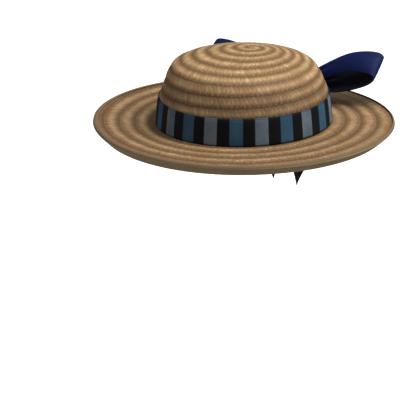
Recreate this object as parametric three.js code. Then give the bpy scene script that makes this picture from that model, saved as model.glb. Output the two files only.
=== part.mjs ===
// A straw hat with a domed crown and a wide, flat brim, sewn from rows of straw braid.
// A striped band runs round the foot of the crown, and a ribbon bow with two pointed tails is tied at the back.
//
// Millimetres, +Z up. The origin is the centre of the head opening, level with the top of the brim at the
// foot of the crown. The wearer looks along -Y, so the bow is on the +Y side, and +X is the wearer's left.

import * as THREE from "three";

// Head opening and straw
const headWidth = 172;
const headLength = 190;
const strawWall = 1.8;
const clearance = 0.3;

// Crown
const crownHeight = 76.4;
const crownRow = 12;
const crownRib = 0.6;

// Brim, with its last row of braid turned under at the edge
const brimWidth = 66.7;
const brimRows = 4;
const brimRib = 0.7;
const brimWall = 2.2;
const brimFall = 0.4;
const brimWave = 1.2;
const brimTilt = 2.9;
const brimTiltTurn = 156;
const brimOvalShare = 0.5;
const collarHeight = 9;
const collarWall = 1.2;
const turnUnderDrop = 9.3;
const turnUnderInset = 10.5;

// Cloth tape folded over the edge of the brim
const tapeThickness = 1;
const tapeOnTop = 3;
const tapeInside = 3;

// Striped band round the crown
const bandHeight = 29.7;
const bandThickness = 1;
const bandRows = 3;

// Bow ribbon, its knot, its loops and its tails
const ribbonThickness = 1.2;
const ribbonWidth = 30;
const knotWidth = 20;
const knotHeight = 23;
const knotDepth = 13;
const leftLoop = { name: "bow_loop_left", side: 1, reach: 107.5, rise: 34 };
const rightLoop = { name: "bow_loop_right", side: -1, reach: 88, rise: 26 };
const tailWidth = 28.5;
const tailPoint = 34;
const tailBend = 5;
const tailTip = 0.03;
const outerTail = { name: "tail_outer", rootSide: -6.6, swing: -41.5, drop: 112.5, lean: 3.5 };
const innerTail = { name: "tail_inner", rootSide: 6.6, swing: -10, drop: 117.5, lean: -3.5 };

// Facets
const turns = 48;
const pointsPerRow = 3;
const insidePoints = 11;
const ribbonSteps = 27;
const ribbonStrips = 5;

const strawColour = 0xb99363;
const tapeColour = 0x5d5138;
const bandColour = 0x2c4256;
const ribbonColour = 0x142050;

// The crown's outline, from its foot to its tip.
// up: height, as a share of crownHeight. out: half width, as a share of the half width at the foot.
const crownShape = [
  { up: 0.0, out: 1.0 },
  { up: 0.2, out: 0.984 },
  { up: 0.385, out: 0.965 },
  { up: 0.467, out: 0.942 },
  { up: 0.593, out: 0.9 },
  { up: 0.69, out: 0.86 },
  { up: 0.76, out: 0.82 },
  { up: 0.818, out: 0.758 },
  { up: 0.86, out: 0.679 },
  { up: 0.904, out: 0.566 },
  { up: 0.945, out: 0.43 },
  { up: 0.975, out: 0.283 },
  { up: 0.993, out: 0.136 },
  { up: 1.0, out: 0.0 },
];

// The knot's outline, turned about the ribbon's run.
// along: share of half its width. out: share of half its height and depth.
const knotShape = [
  { along: -1.0, out: 0.0 },
  { along: -1.0, out: 0.8 },
  { along: -0.82, out: 0.93 },
  { along: -0.4, out: 1.0 },
  { along: 0.0, out: 0.97 },
  { along: 0.4, out: 1.0 },
  { along: 0.82, out: 0.93 },
  { along: 1.0, out: 0.8 },
  { along: 1.0, out: 0.0 },
];

// A bow loop, from the top of the knot out to its fold and back to the foot of the knot.
// out: sideways, as a share of the loop's reach. rise: above the knot's middle, as a share of the loop's rise.
// tilt: degrees that the edge nearest the crown hangs lower. wide: share of ribbonWidth.
// cup: how far the middle of the ribbon stands proud, as a share of ribbonWidth.
const loopCourse = [
  { out: 0.1, rise: 0.13, tilt: 22, wide: 0.5, cup: 0.08 },
  { out: 0.14, rise: 0.135, tilt: 22, wide: 0.54, cup: 0.08 },
  { out: 0.18, rise: 0.165, tilt: 22, wide: 0.61, cup: 0.08 },
  { out: 0.28, rise: 0.26, tilt: 24, wide: 0.75, cup: 0.1 },
  { out: 0.45, rise: 0.54, tilt: 29, wide: 0.9, cup: 0.13 },
  { out: 0.61, rise: 0.785, tilt: 33, wide: 0.95, cup: 0.15 },
  { out: 0.75, rise: 0.91, tilt: 34, wide: 0.95, cup: 0.15 },
  { out: 0.89, rise: 0.94, tilt: 34, wide: 1.0, cup: 0.12 },
  { out: 0.965, rise: 0.9, tilt: 34, wide: 1.02, cup: 0.07 },
  { out: 0.995, rise: 0.8, tilt: 34, wide: 1.03, cup: 0.02 },
  { out: 0.95, rise: 0.64, tilt: 35, wide: 1.02, cup: 0.0 },
  { out: 0.8, rise: 0.41, tilt: 36, wide: 1.0, cup: -0.03 },
  { out: 0.62, rise: 0.24, tilt: 36, wide: 1.0, cup: -0.04 },
  { out: 0.45, rise: 0.11, tilt: 33, wide: 0.94, cup: -0.03 },
  { out: 0.28, rise: -0.01, tilt: 28, wide: 0.75, cup: 0.0 },
  { out: 0.18, rise: -0.09, tilt: 24, wide: 0.61, cup: 0.04 },
  { out: 0.14, rise: -0.115, tilt: 23, wide: 0.54, cup: 0.05 },
  { out: 0.1, rise: -0.12, tilt: 22, wide: 0.5, cup: 0.06 },
];

// A tail's stretch on the brim, from the knot to the brim's edge.
// over: share of that way. lift: height above the brim, as a share of knotHeight. wide: share of tailWidth.
const tailOnBrim = [
  { over: 0.0, lift: 0.2, wide: 0.42 },
  { over: 0.12, lift: 0.08, wide: 0.46 },
  { over: 0.3, lift: 0.02, wide: 0.57 },
  { over: 0.55, lift: 0.03, wide: 0.73 },
  { over: 0.8, lift: 0.02, wide: 0.88 },
];

// Turns at which a tail is placed as it bends over the brim's edge, from flat to hanging.
const tailOverEdge = [1.45, 0.75, 0.1];

// A tail's hanging stretch. down: share of its drop. sway: sideways, as a share of its lean.
// out: beyond the brim's edge, as a share of tailWidth.
const tailHanging = [
  { down: 0.1, sway: 0.0, out: 0.07 },
  { down: 0.28, sway: 0.06, out: 0.1 },
  { down: 0.5, sway: 0.25, out: 0.05 },
  { down: 0.75, sway: 0.65, out: 0.1 },
  { down: 1.0, sway: 1.0, out: 0.06 },
];

// Radii on the X axis, worked out from the sizes above. Every ring is an oval: its Y radius is longer.
const collarOut = headWidth / 2 + collarWall;
const crownIn = collarOut + clearance;
const crownOut = crownIn + strawWall;
const brimEdge = crownOut + brimWidth;
const ovalExtra = (headLength - headWidth) / 2;

function lengthen(radius) {
  const onBrim = THREE.MathUtils.clamp((radius - crownOut) / brimWidth, 0, 1);
  const share = Math.min(1, radius / (headWidth / 2)) * (1 - (1 - brimOvalShare) * onBrim);
  return radius + ovalExtra * share;
}

// How far the brim lifts at a turn round the hat. Its sides stand a little higher than its front and back,
// and a hat made by hand stands a little higher on one side than on the other.
function wave(radius, turn) {
  const share = THREE.MathUtils.clamp((radius - crownOut) / brimWidth, 0, 1);
  const tilt = brimTilt * Math.cos(turn - THREE.MathUtils.degToRad(brimTiltTurn));
  return share ** 2 * (brimWave * Math.cos(2 * turn) + tilt);
}

// A closed profile turned round Z, drawn out into the head's oval, and waved where it is brim.
function turned(profile, waved = false) {
  const geometry = new THREE.LatheGeometry(
    profile.map(([out, up]) => new THREE.Vector2(out, up)),
    turns,
  );
  geometry.rotateX(Math.PI / 2);
  const place = geometry.attributes.position;
  for (let i = 0; i < place.count; i++) {
    const radius = Math.hypot(place.getX(i), place.getY(i));
    if (radius < 1e-6) continue;
    const stretch = lengthen(radius) / radius;
    const turn = Math.atan2(place.getY(i), place.getX(i));
    if (waved) place.setZ(i, place.getZ(i) + wave(radius, turn));
    place.setY(i, place.getY(i) * stretch);
  }
  geometry.computeVertexNormals();
  return geometry;
}

// A line of [out, up] points moved to its left by a distance, with its corners mitred.
function offsetLine(line, distance) {
  return line.map((point, i) => {
    const before = new THREE.Vector2(...(line[i - 1] ?? point));
    const here = new THREE.Vector2(...point);
    const after = new THREE.Vector2(...(line[i + 1] ?? point));
    const arriving = here.clone().sub(before).normalize();
    const leaving = after.clone().sub(here).normalize();
    if (i === 0) arriving.copy(leaving);
    if (i === line.length - 1) leaving.copy(arriving);
    const along = arriving.clone().add(leaving).normalize();
    const reach = distance / Math.max(0.5, along.dot(arriving));
    return [here.x - along.y * reach, here.y + along.x * reach];
  });
}

// The closed section of a cloth that lies on a line with a small gap under it.
function clothSection(line, gap, thickness) {
  return [...offsetLine(line, gap), ...offsetLine(line, gap + thickness).reverse()];
}

// A row of braid stands proud in its middle and sinks to nothing at both of its edges.
function rib(distance, row, depth) {
  return depth * Math.abs(Math.sin((Math.PI * distance) / row));
}

// The crown's smooth outline in millimetres, from foot to tip.
const crownLine = new THREE.SplineCurve(
  crownShape.map(({ up, out }) => new THREE.Vector2(out * crownOut, up * crownHeight)),
);

// Half width of the crown's smooth outline at a height, found by halving.
function crownRadius(up) {
  let low = 0;
  let high = 1;
  for (let i = 0; i < 40; i++) {
    const middle = (low + high) / 2;
    if (crownLine.getPoint(middle).y < up) low = middle;
    else high = middle;
  }
  return crownLine.getPoint(low).x;
}

function crownProfile() {
  const length = crownLine.getLength();
  const rows = Math.max(1, Math.round(length / crownRow));
  const steps = rows * pointsPerRow;
  const outside = [];
  for (let i = 0; i <= steps; i++) {
    const at = crownLine.getPointAt(i / steps);
    const along = crownLine.getTangentAt(i / steps);
    const proud = rib(i / pointsPerRow, 1, crownRib);
    outside.push([at.x + along.y * proud, at.y - along.x * proud]);
  }
  outside[0] = [crownOut, clearance];
  outside[steps] = [0, crownHeight];
  const inside = [];
  for (let i = 0; i <= insidePoints; i++) {
    const at = crownLine.getPointAt(i / insidePoints);
    const along = crownLine.getTangentAt(i / insidePoints);
    inside.push([at.x - along.y * strawWall, at.y + along.x * strawWall]);
  }
  inside[0] = [crownIn, clearance];
  inside[insidePoints] = [0, crownHeight - strawWall];
  return [...inside.reverse(), ...outside];
}

// Top of the brim at a radius: it falls a little towards the edge, and each row of braid stands proud.
function brimTop(radius) {
  const distance = Math.max(0, radius - crownOut);
  const proud = rib(distance, brimWidth / brimRows, brimRib);
  return (-brimFall * distance) / brimWidth + proud;
}

// Corners of the turned-under edge: the outer face and, a wall's thickness inside it, the inner face.
const edgeTop = -brimFall;
const edgeSide = [brimEdge, edgeTop - brimWall / 2];
const turnEnd = [edgeSide[0] - turnUnderInset, edgeSide[1] - turnUnderDrop];
const turnLength = Math.hypot(turnUnderInset, turnUnderDrop);
const turnEndInside = [
  turnEnd[0] - (turnUnderDrop / turnLength) * brimWall,
  turnEnd[1] + (turnUnderInset / turnLength) * brimWall,
];
// Where the inner face meets the underside of the brim.
const creaseUp = edgeTop - brimWall;
const creaseOut =
  turnEndInside[0] + ((creaseUp - turnEndInside[1]) * turnUnderInset) / turnUnderDrop;

function brimProfile() {
  const top = [];
  const steps = brimRows * pointsPerRow;
  for (let i = 0; i <= steps; i++) {
    const radius = crownOut + (brimWidth * i) / steps;
    top.push([radius, brimTop(radius)]);
  }
  top[steps] = [brimEdge - brimWall / 2, edgeTop];
  const underside = [];
  for (let i = 0; i <= brimRows; i++) {
    const radius = collarOut + ((creaseOut - collarOut) * i) / brimRows;
    underside.push([radius, (-brimFall * i) / brimRows - brimWall]);
  }
  const collarTop = crownRadius(collarHeight) - strawWall - clearance;
  return [
    [collarTop - collarWall, collarHeight],
    [headWidth / 2, 0],
    [headWidth / 2, -brimWall],
    ...underside,
    turnEndInside,
    turnEnd,
    edgeSide,
    ...top.reverse(),
    [collarOut, 0],
    [collarTop, collarHeight],
    [collarTop - collarWall, collarHeight],
  ];
}

function tapeProfile() {
  const insideEnd = [
    turnEndInside[0] + (turnUnderInset / turnLength) * tapeInside,
    turnEndInside[1] + (turnUnderDrop / turnLength) * tapeInside,
  ];
  const line = [
    insideEnd,
    turnEndInside,
    turnEnd,
    edgeSide,
    [brimEdge - brimWall / 2, edgeTop],
    [brimEdge - tapeOnTop, brimTop(brimEdge - tapeOnTop)],
  ].reverse();
  const section = clothSection(line, clearance, tapeThickness);
  return [...section, section[0]];
}

const bandFoot = 2 * clearance;
const bandGap = crownRib + clearance;

function bandProfile() {
  const line = [];
  for (let i = 0; i <= bandRows; i++) {
    const up = bandFoot + ((bandHeight - bandFoot) * i) / bandRows;
    line.push([crownRadius(up), up]);
  }
  const section = clothSection(line.reverse(), bandGap, bandThickness);
  return [...section, section[0]];
}

// A strip of ribbon: a flat box bent along a course. The course gives, for a share of its length, the
// strip's centre, the way its width runs, its width, and how far its middle stands proud.
// slant: its width keeps that way through a fold. Otherwise it is turned square to the course.
function ribbon(course, slant = false) {
  const geometry = new THREE.BoxGeometry(1, 1, 1, ribbonStrips, 1, ribbonSteps);
  const place = geometry.attributes.position;
  const nudge = 1e-3;
  for (let i = 0; i < place.count; i++) {
    const share = place.getZ(i) + 0.5;
    const { centre, across, width, cup } = course(share);
    const before = course(Math.max(0, share - nudge)).centre;
    const after = course(Math.min(1, share + nudge)).centre;
    const along = after.clone().sub(before).normalize();
    const side = slant ? across : across.clone().addScaledVector(along, -across.dot(along)).normalize();
    const face = along.clone().cross(side).normalize();
    const sideways = place.getX(i) * width;
    const proud = place.getY(i) * ribbonThickness + cup * (1 - (2 * place.getX(i)) ** 2);
    const at = centre.clone().addScaledVector(side, sideways).addScaledVector(face, proud);
    place.setXYZ(i, at.x, at.y, at.z);
  }
  geometry.computeVertexNormals();
  return geometry;
}

// Places for a course's rows, and their sizes, as two curves that share one parameter.
function courseFrom(rows, centreOf, sizesOf, acrossOf) {
  const centres = new THREE.CatmullRomCurve3(rows.map(centreOf));
  const sizes = new THREE.CatmullRomCurve3(rows.map(sizesOf));
  centres.arcLengthDivisions = 400;
  return (share) => {
    const step = centres.getUtoTmapping(share);
    const size = sizes.getPoint(step);
    return {
      centre: centres.getPoint(step),
      across: acrossOf(size, share),
      width: size.y,
      cup: size.z,
    };
  };
}

// The knot sits against the band at the back, centred on the band's height.
const knotUp = (bandHeight + bandFoot) / 2;
const bandBack = lengthen(crownRadius(knotUp) + bandGap + bandThickness);
const knotBack = bandBack + 2 * clearance + knotDepth / 2;

function knotGeometry() {
  const half = knotWidth / 2;
  const geometry = new THREE.LatheGeometry(
    knotShape.map(({ along, out }) => new THREE.Vector2(out, along * half)),
    turns / 2,
  );
  geometry.rotateZ(-Math.PI / 2);
  geometry.scale(1, knotDepth / 2, knotHeight / 2);
  return geometry;
}

function loopGeometry({ side, reach, rise }) {
  const start = knotWidth / 2 + 2 * clearance;
  const first = loopCourse[0].out;
  const centreOf = (row) =>
    new THREE.Vector3(
      side * (start + ((reach - start) * (row.out - first)) / (1 - first)),
      knotBack,
      knotUp + rise * row.rise,
    );
  const sizesOf = (row) =>
    new THREE.Vector3(
      THREE.MathUtils.degToRad(row.tilt),
      row.wide * ribbonWidth,
      -side * row.cup * ribbonWidth,
    );
  const acrossOf = (size) => new THREE.Vector3(0, -Math.cos(size.x), -Math.sin(size.x));
  return ribbon(courseFrom(loopCourse, centreOf, sizesOf, acrossOf), true);
}

// The outside of the tape at the brim's edge, and the oval's Y there at a given X.
const tapeOut = brimEdge + clearance + tapeThickness;

function edgeAt(x) {
  const length = lengthen(tapeOut);
  const turn = Math.acos(x / tapeOut);
  const tangent = new THREE.Vector3(tapeOut * Math.sin(turn), -length * Math.cos(turn), 0);
  return { y: length * Math.sin(turn), turn, tangent: tangent.normalize() };
}

function tailGeometry({ rootSide, swing, drop, lean }) {
  const edge = edgeAt(swing);
  const outward = new THREE.Vector3(-edge.tangent.y, edge.tangent.x, 0);
  const half = ribbonThickness / 2;
  const rootY = knotBack + knotDepth / 2 + clearance + half;
  const brimThere = brimRib + tapeThickness + 2 * clearance + half;
  const hem = edgeTop + wave(tapeOut, edge.turn);
  const beyond = new THREE.Vector3(swing, edge.y, hem);
  const bendOut = tailBend / 2 + half;
  const bendUp = brimThere - tailBend + half;
  const rows = [
    ...tailOnBrim.map((row) => ({
      at: new THREE.Vector3(
        THREE.MathUtils.lerp(rootSide, swing, row.over),
        THREE.MathUtils.lerp(rootY, edge.y, row.over),
        hem * row.over + brimThere + row.lift * knotHeight,
      ),
      wide: row.wide,
    })),
    ...tailOverEdge.map((turn) => ({
      at: beyond
        .clone()
        .addScaledVector(outward, bendOut - tailBend * (1 - Math.cos(turn)))
        .setZ(hem + bendUp + tailBend * Math.sin(turn)),
      wide: 1,
    })),
    ...tailHanging.map((row) => ({
      at: beyond
        .clone()
        .addScaledVector(outward, bendOut + row.out * tailWidth)
        .addScaledVector(edge.tangent, row.sway * lean)
        .setZ(hem - row.down * drop),
      wide: 1,
    })),
  ];
  const centreOf = (row) => row.at;
  const sizesOf = (row) => new THREE.Vector3(0, row.wide * tailWidth, 0);
  const acrossOf = (size, share) =>
    new THREE.Vector3(1, 0, 0).lerp(edge.tangent, Math.min(1, 2 * share)).normalize();
  const course = courseFrom(rows, centreOf, sizesOf, acrossOf);
  const length = new THREE.CatmullRomCurve3(rows.map(centreOf)).getLength();
  return ribbon((share) => {
    const here = course(share);
    const toTip = (1 - share) * length;
    here.width *= Math.max(tailTip, Math.min(1, toTip / tailPoint));
    return here;
  });
}

const straw = new THREE.MeshStandardMaterial({ color: strawColour, roughness: 0.8, metalness: 0 });
const tape = new THREE.MeshStandardMaterial({ color: tapeColour, roughness: 0.85, metalness: 0 });
const stripes = new THREE.MeshStandardMaterial({ color: bandColour, roughness: 0.7, metalness: 0 });
const satin = new THREE.MeshStandardMaterial({ color: ribbonColour, roughness: 0.4, metalness: 0 });

function piece(name, geometry, material) {
  const mesh = new THREE.Mesh(geometry, material);
  mesh.name = name;
  return mesh;
}

const hat = new THREE.Group();
hat.name = "straw_hat";
hat.add(piece("crown", turned(crownProfile()), straw));
hat.add(piece("brim", turned(brimProfile(), true), straw));
hat.add(piece("edge_binding", turned(tapeProfile(), true), tape));
hat.add(piece("hat_band", turned(bandProfile()), stripes));

const knot = piece("bow_knot", knotGeometry(), satin);
knot.position.set(0, knotBack, knotUp);
hat.add(knot);
for (const loop of [leftLoop, rightLoop]) {
  hat.add(piece(loop.name, loopGeometry(loop), satin));
}
for (const tail of [outerTail, innerTail]) {
  hat.add(piece(tail.name, tailGeometry(tail), satin));
}

export default hat;
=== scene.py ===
import math

import bmesh
import bpy
import numpy as np
from mathutils import Matrix, Vector


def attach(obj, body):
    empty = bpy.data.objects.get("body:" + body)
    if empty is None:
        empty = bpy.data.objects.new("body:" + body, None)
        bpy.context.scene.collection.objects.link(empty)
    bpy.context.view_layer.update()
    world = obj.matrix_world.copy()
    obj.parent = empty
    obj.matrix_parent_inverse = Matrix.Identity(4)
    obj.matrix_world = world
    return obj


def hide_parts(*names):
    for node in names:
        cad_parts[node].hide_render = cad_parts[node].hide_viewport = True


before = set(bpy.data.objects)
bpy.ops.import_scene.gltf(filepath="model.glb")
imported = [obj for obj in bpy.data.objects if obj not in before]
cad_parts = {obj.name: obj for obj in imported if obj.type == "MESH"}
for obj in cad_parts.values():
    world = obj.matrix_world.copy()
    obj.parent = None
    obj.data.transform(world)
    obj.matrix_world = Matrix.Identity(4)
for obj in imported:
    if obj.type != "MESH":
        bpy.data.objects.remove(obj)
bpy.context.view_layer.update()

MM = 0.001
TAU = math.tau

# How the photograph was taken: degrees, metres, millimetres for a pixel at the hat, the pixel that shows the
# hat's axis at the height HAT_AXIS_UP, and the turn round Z of the picture's left.
VIEW_AZIMUTH = 25
VIEW_ELEVATION = 17.3
VIEW_DISTANCE = 7.0
MM_PER_PIXEL = 1.044
PICTURE_SIDE = 420
HAT_AXIS_PIXEL = (244.0, 121.3)
HAT_AXIS_UP = -0.7
PICTURE_LEFT = math.radians(180 + VIEW_AZIMUTH)

# How finely the pieces are divided
SECTORS = 12
CROWN_STEPS = 600
BRIM_STEPS = 768
TAPE_STEPS = 720
BAND_STEPS = 640
KNOT_STEPS = 120
CROWN_LINE_POINTS = 126
BAND_LINE_POINTS = 20
KNOT_LINE_POINTS = 72
COURSE_POINTS = 400
LOOP_CELLS = (60, 190)
TAIL_CELLS = (36, 170)

# Straw, in millimetres: the same sizes as the solids that these pieces stand for.
HEAD_WIDTH = 172
HEAD_LENGTH = 190
STRAW_WALL = 1.8
CLEARANCE = 0.3
COLLAR_WALL = 1.2
COLLAR_HEIGHT = 9
CROWN_HEIGHT = 76.4
CROWN_ROW = 12
BRIM_WIDTH = 66.7
BRIM_ROWS = 4
BRIM_WALL = 2.2
BRIM_FALL = 0.4
BRIM_WAVE = 1.2
BRIM_TILT = 2.9
BRIM_TILT_TURN = math.radians(156)
BRIM_OVAL_SHARE = 0.5
TURN_UNDER_DROP = 9.3
TURN_UNDER_INSET = 10.5

# The braid: how far a row swells and steps over the next, its plaits, and how much of this relief the inside
# of the crown, the tip and the underside of the brim have.
ROW_RISE = 0.6
ROW_STEP = 0.3
ROW_FULLNESS = 2.2
PLAIT_RISE = 0.22
PLAIT_PITCH = 4.6
CROWN_STRANDS = 1.0
BRIM_STRANDS = 1.5
INSIDE_RELIEF = 0.35
TIP_RELIEF = 0.25
UNDERSIDE_RELIEF = 0.5

# What is uneven about the crown: the start of its sewing, and the shoulder that is fuller on one side.
TIP_SLIDE = (2.0, 14.0)
TIP_REACH = 78
SHOULDER_FILL = 2.6
SHOULDER_LIFT = 0.8
SHOULDER_FROM = 0.42
SHOULDER_SPAN = 0.4
SHOULDER_OUT = 45

# Marks on the straw: the brim's outer row, browned by hands, and a painted shadow beneath each bow loop.
OUTER_ROW = (136, 158)
LOOP_SHADOW_MIDDLE = (64, 124)
LOOP_SHADOW_HALF = (50, 34)
DULLED_DEPTH = 24

# Tape over the brim's edge. It reaches further in on the picture's left. A pucker is its size, its count
# round the brim and its start, and the waver ends with its slant over a millimetre of height instead.
TAPE_THICKNESS = 1
TAPE_ON_TOP = 3
TAPE_INSIDE = 3
TAPE_SHIFT = 1.4
TAPE_TOP_LIFT = 0.3
TAPE_PUCKER = [(0.07, 173, 0), (0.05, 97, 1.3)]
TAPE_WAVER = (0.06, 131, 0.7)

# Striped band. One period of its stripes is blue, black, grey and black.
BAND_HEIGHT = 29.7
BAND_THICKNESS = 1
BAND_EDGE_ROLL = 0.35
BAND_RIPPLE = [(0.12, 9, 0.4), (0.08, 23, 0)]
BAND_TOP_RIPPLE = [(0.15, 5, 0)]
STRIPE_PERIOD = math.radians(34.05)
BLUE_START = math.radians(287.1)

# Bow
RIBBON_THICKNESS = 1.0
RIBBON_WIDTH = 30
FOLD_START = 0.6
FOLD_DEPTH = 0.92
MOST_FULLNESS = 4
LOOP_FOLDS = 2.5
LOOP_TO_BAND = 1.1
LOOP_EASE = 0.5
KNOT_WIDTH = 20
KNOT_HEIGHT = 23
KNOT_DEPTH = 13
KNOT_TAPER = 0.1
KNOT_LEVEL = 0.93
KNOT_SQUARE = 0.06
KNOT_PINCH = 0.06
TAIL_FOLDS = 2
TAIL_WIDTH = 28.5
TAIL_POINT = 34
TAIL_BEND = 5
TAIL_CLEAR = 1.0
TAIL_SLACK = 0.1
TAIL_RIPPLE = 0.9
TAIL_RIPPLE_COUNT = 2.2
TAIL_RIPPLE_FROM = 0.45

COLLAR_OUT = HEAD_WIDTH / 2 + COLLAR_WALL
CROWN_OUT = COLLAR_OUT + CLEARANCE + STRAW_WALL
BRIM_EDGE = CROWN_OUT + BRIM_WIDTH
OVAL_EXTRA = (HEAD_LENGTH - HEAD_WIDTH) / 2

# The crown's outline: (height as a share of CROWN_HEIGHT, half width as a share of CROWN_OUT).
CROWN_SHAPE = [
    (0.0, 1.0),
    (0.2, 0.984),
    (0.385, 0.965),
    (0.467, 0.942),
    (0.593, 0.9),
    (0.69, 0.86),
    (0.76, 0.82),
    (0.818, 0.758),
    (0.86, 0.679),
    (0.904, 0.566),
    (0.945, 0.43),
    (0.975, 0.283),
    (0.993, 0.136),
    (1.0, 0.0),
]

# A bow loop, from the top of the knot to its fold and back to the foot of the knot: out as a share of its
# reach, rise as a share of its rise, tilt in degrees, width as a share of RIBBON_WIDTH, and how far its
# middle stands proud, as a share of RIBBON_WIDTH.
LOOP_COURSE = [
    (0.05, 0.12, 22, 0.47, 0.08),
    (0.1, 0.13, 22, 0.5, 0.08),
    (0.14, 0.135, 22, 0.54, 0.08),
    (0.18, 0.165, 22, 0.61, 0.08),
    (0.28, 0.26, 24, 0.75, 0.1),
    (0.45, 0.54, 29, 0.9, 0.13),
    (0.61, 0.785, 33, 0.95, 0.15),
    (0.75, 0.91, 34, 0.95, 0.15),
    (0.89, 0.94, 34, 1.0, 0.12),
    (0.965, 0.9, 34, 1.02, 0.07),
    (0.995, 0.8, 34, 1.03, 0.02),
    (0.95, 0.64, 35, 1.02, 0.0),
    (0.8, 0.41, 36, 1.0, -0.03),
    (0.62, 0.24, 36, 1.0, -0.04),
    (0.45, 0.11, 33, 0.94, -0.03),
    (0.28, -0.01, 28, 0.75, 0.0),
    (0.18, -0.09, 24, 0.61, 0.04),
    (0.14, -0.115, 23, 0.54, 0.05),
    (0.1, -0.12, 22, 0.5, 0.06),
    (0.05, -0.12, 22, 0.47, 0.06),
]

# The rolled rim at each end of the knot: inset from the end, and radius as a share of the full radius.
KNOT_RIM = [(1.4, 0.558), (1.35, 0.576), (1.3, 0.612), (1.25, 0.666)]

# A fold round the knot: its size as a share of the radius, its count over a millimetre of X, its start, and
# how far it sways on its way round, with the start of that.
KNOT_FOLDS = [(0.05, 1.25, 0, 0.9, 0), (0.03, 2.3, 1, -0.7, 1)]

# A tail's start inside the knot: X as a share of its X at the knot's back, Y and Z from the knot's middle,
# and width as a share of TAIL_WIDTH.
TAIL_ROOT = (0.7, 2, -3, 0.38)

# Then on the brim: the share of the way to the edge, lift as a share of KNOT_HEIGHT, and width.
TAIL_ON_BRIM = [
    (0.0, 0.2, 0.42),
    (0.12, 0.08, 0.46),
    (0.3, 0.02, 0.57),
    (0.55, 0.03, 0.73),
    (0.8, 0.02, 0.88),
]

# Then round the edge: the angle still to turn, in radians.
TAIL_OVER_EDGE = [1.45, 0.75, 0.1]

# Then hanging: the share of its drop, the share of its sway, and the way out as a share of TAIL_WIDTH.
TAIL_HANGING = [(0.1, 0.0, 0.07), (0.28, 0.06, 0.1), (0.5, 0.25, 0.05), (0.75, 0.65, 0.1), (1.0, 1.0, 0.06)]


# Lines and curves


def lengthen(radius):
    """Half length on Y of the oval whose half width on X is radius."""
    radius = np.asarray(radius, float)
    on_brim = np.clip((radius - CROWN_OUT) / BRIM_WIDTH, 0, 1)
    share = np.minimum(1, radius / (HEAD_WIDTH / 2)) * (1 - (1 - BRIM_OVAL_SHARE) * on_brim)
    return radius + OVAL_EXTRA * share


def brim_wave(radius, turn):
    """How far the brim lifts: its sides stand higher than its front and back, and one side is the highest."""
    share = np.clip((radius - CROWN_OUT) / BRIM_WIDTH, 0, 1)
    tilt = BRIM_TILT * np.cos(turn - BRIM_TILT_TURN)
    return share**2 * (BRIM_WAVE * np.cos(2 * turn) + tilt)


def ripple(turn, waves):
    return sum(size * np.sin(turn * count + start) for size, count, start in waves)


def steps_of(points):
    """The length of each step of a line."""
    return np.linalg.norm(np.diff(points, axis=0), axis=1)


def travel(points):
    """How far along a line each of its points lies."""
    return np.concatenate([[0], np.cumsum(steps_of(points))])


def columns_at(where, at, table):
    """Each column of a table whose rows stand at the places at, read at the places where."""
    return np.stack([np.interp(where, at, column) for column in table.T], axis=1)


def smooth_through(rows, count):
    """Rows of a table joined by smooth curves, as count rows spaced evenly along the first three columns."""
    rows = np.array(rows, float)
    knots = np.concatenate([[0], np.cumsum(steps_of(rows[:, :3]) ** 0.5)])
    slopes = np.gradient(rows, knots, axis=0)
    fine = np.linspace(0, knots[-1], 60 * len(rows))
    cell = np.clip(np.searchsorted(knots, fine, side="right") - 1, 0, len(rows) - 2)
    width = (knots[cell + 1] - knots[cell])[:, None]
    t = (fine[:, None] - knots[cell][:, None]) / width
    curve = (
        (2 * t**3 - 3 * t**2 + 1) * rows[cell]
        + (t**3 - 2 * t**2 + t) * width * slopes[cell]
        + (3 * t**2 - 2 * t**3) * rows[cell + 1]
        + (t**3 - t**2) * width * slopes[cell + 1]
    )
    gone = travel(curve[:, :3])
    return columns_at(np.linspace(0, gone[-1], count), gone, curve)


def offset_line(line, distance):
    """A line of (radius, height) points moved to its left."""
    along = np.gradient(line, axis=0)
    along /= np.linalg.norm(along, axis=1)[:, None]
    return line + distance * np.stack([-along[:, 1], along[:, 0]], axis=1)


def rounded(corners, radius, spacing):
    """A line of corners with each inner corner rounded, and points at about even spacing."""
    corners = [Vector(c) for c in corners]
    points = [corners[0]]
    steps = 6
    for before, corner, after in zip(corners, corners[1:], corners[2:]):
        arriving = corner - before
        leaving = after - corner
        cut = min(radius, arriving.length * 0.45, leaving.length * 0.45)
        start = corner - arriving.normalized() * cut
        end = corner + leaving.normalized() * cut
        for i in range(steps + 1):
            t = i / steps
            points.append(start.lerp(corner, t).lerp(corner.lerp(end, t), t))
    points.append(corners[-1])
    dense = np.array([tuple(p) for p in points])
    gone = travel(dense)
    even = np.linspace(0, gone[-1], max(2, round(gone[-1] / spacing) + 1))
    return columns_at(even, gone, dense)


# Pieces and their points


def turned(name, line, steps, closed):
    """A piece turned round Z from a line of (radius, height) points, whose numbers its vertices keep."""
    bm = bmesh.new()
    station = bm.verts.layers.float.new("station")
    verts = []
    for i, (out, up) in enumerate(line):
        vert = bm.verts.new((max(out, 0) * MM, 0, up * MM))
        vert[station] = i
        verts.append(vert)
    edges = [bm.edges.new(pair) for pair in zip(verts, verts[1:])]
    if closed:
        edges.append(bm.edges.new((verts[-1], verts[0])))
    spin_round(bm, verts + edges, (0, 0, 1), steps)
    return piece_from(bm, name)


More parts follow.
